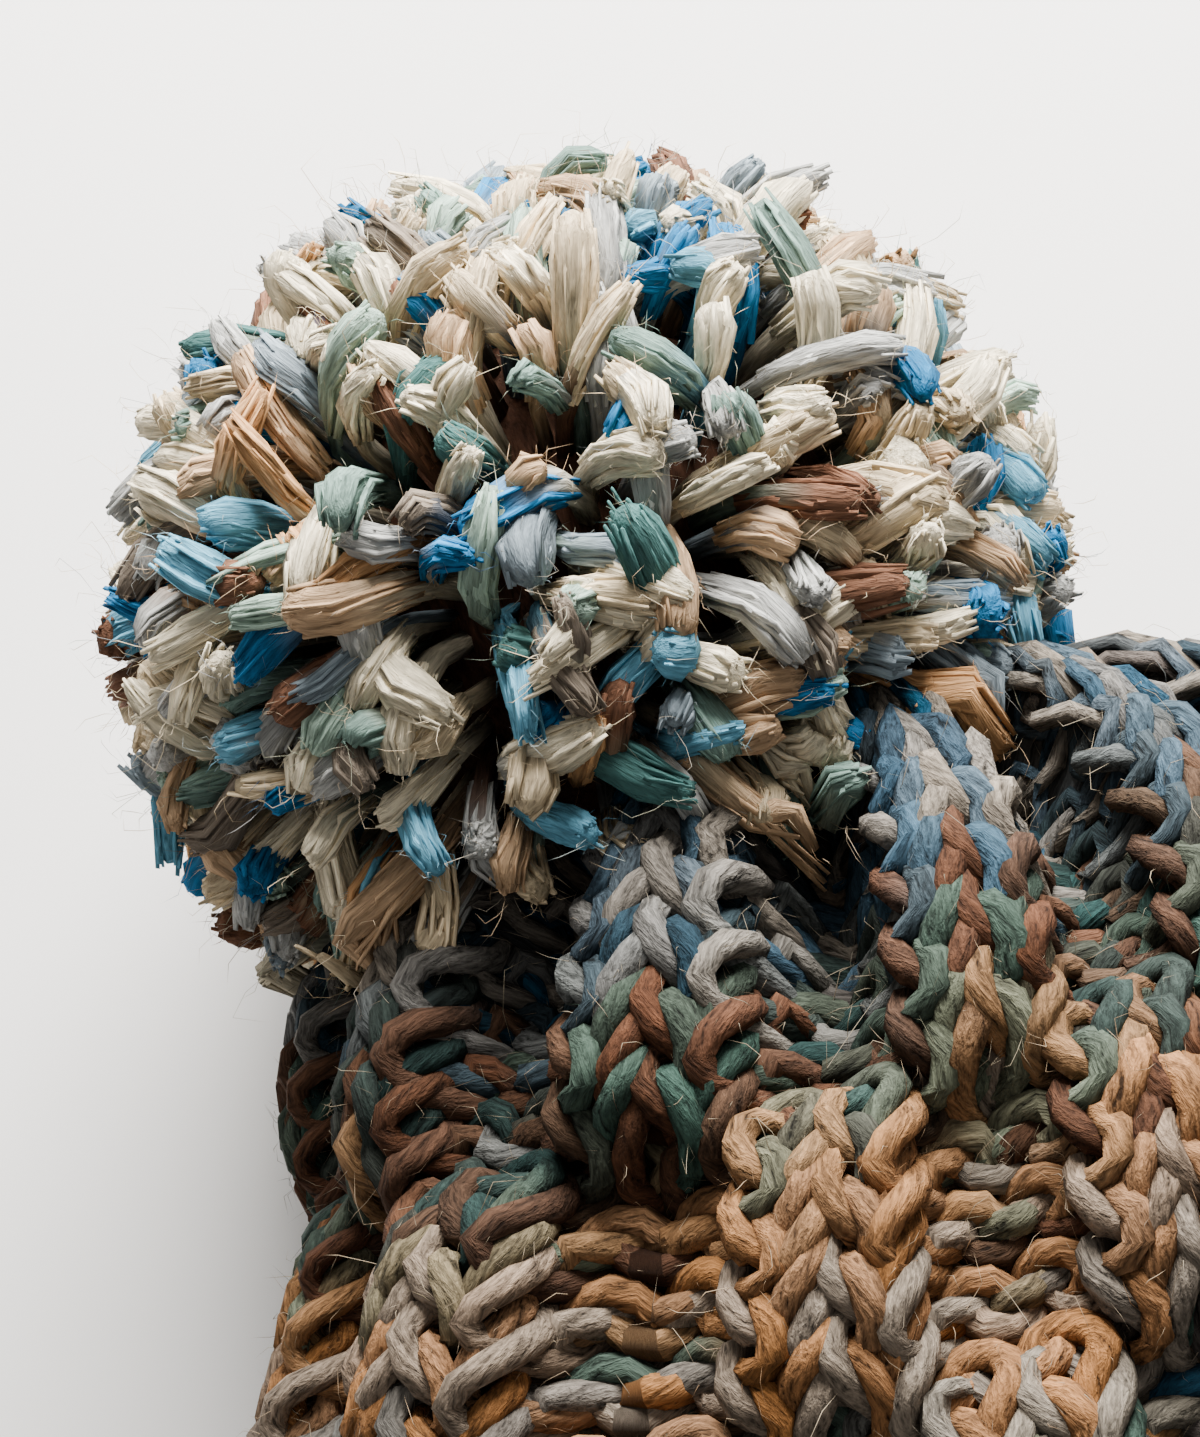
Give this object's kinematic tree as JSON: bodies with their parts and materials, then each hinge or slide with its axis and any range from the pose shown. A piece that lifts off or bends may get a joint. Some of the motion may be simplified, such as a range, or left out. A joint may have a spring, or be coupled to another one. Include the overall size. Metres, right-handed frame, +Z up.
{
  "type": "bobble hat",
  "caption": "Chunky hand-knitted bobble hat with a basketweave body, a gathered crown and a big yarn pompom, lying on its side",
  "frame": {"origin": "under the middle of the hat as it lies, on the surface it rests on", "axes": "+Z up from the surface, +Y along the hat from its opening to the pompom, +X across the hat"},
  "size_m": [0.2194, 0.2614, 0.0931],
  "materials": {
    "knit_wool": "matt two-ply wool in stripes of blue, teal, brown, sage, tan and grey",
    "pompom_wool": "matt fuzzy cut yarn, mostly cream with tan, grey, blue and sage",
    "tie_yarn": "matt wool yarn"
  },
  "bodies": {
    "root": {"knit_body": "knit_wool", "pompom": "pompom_wool", "pompom_tie": "tie_yarn"}
  },
  "joints": []
}
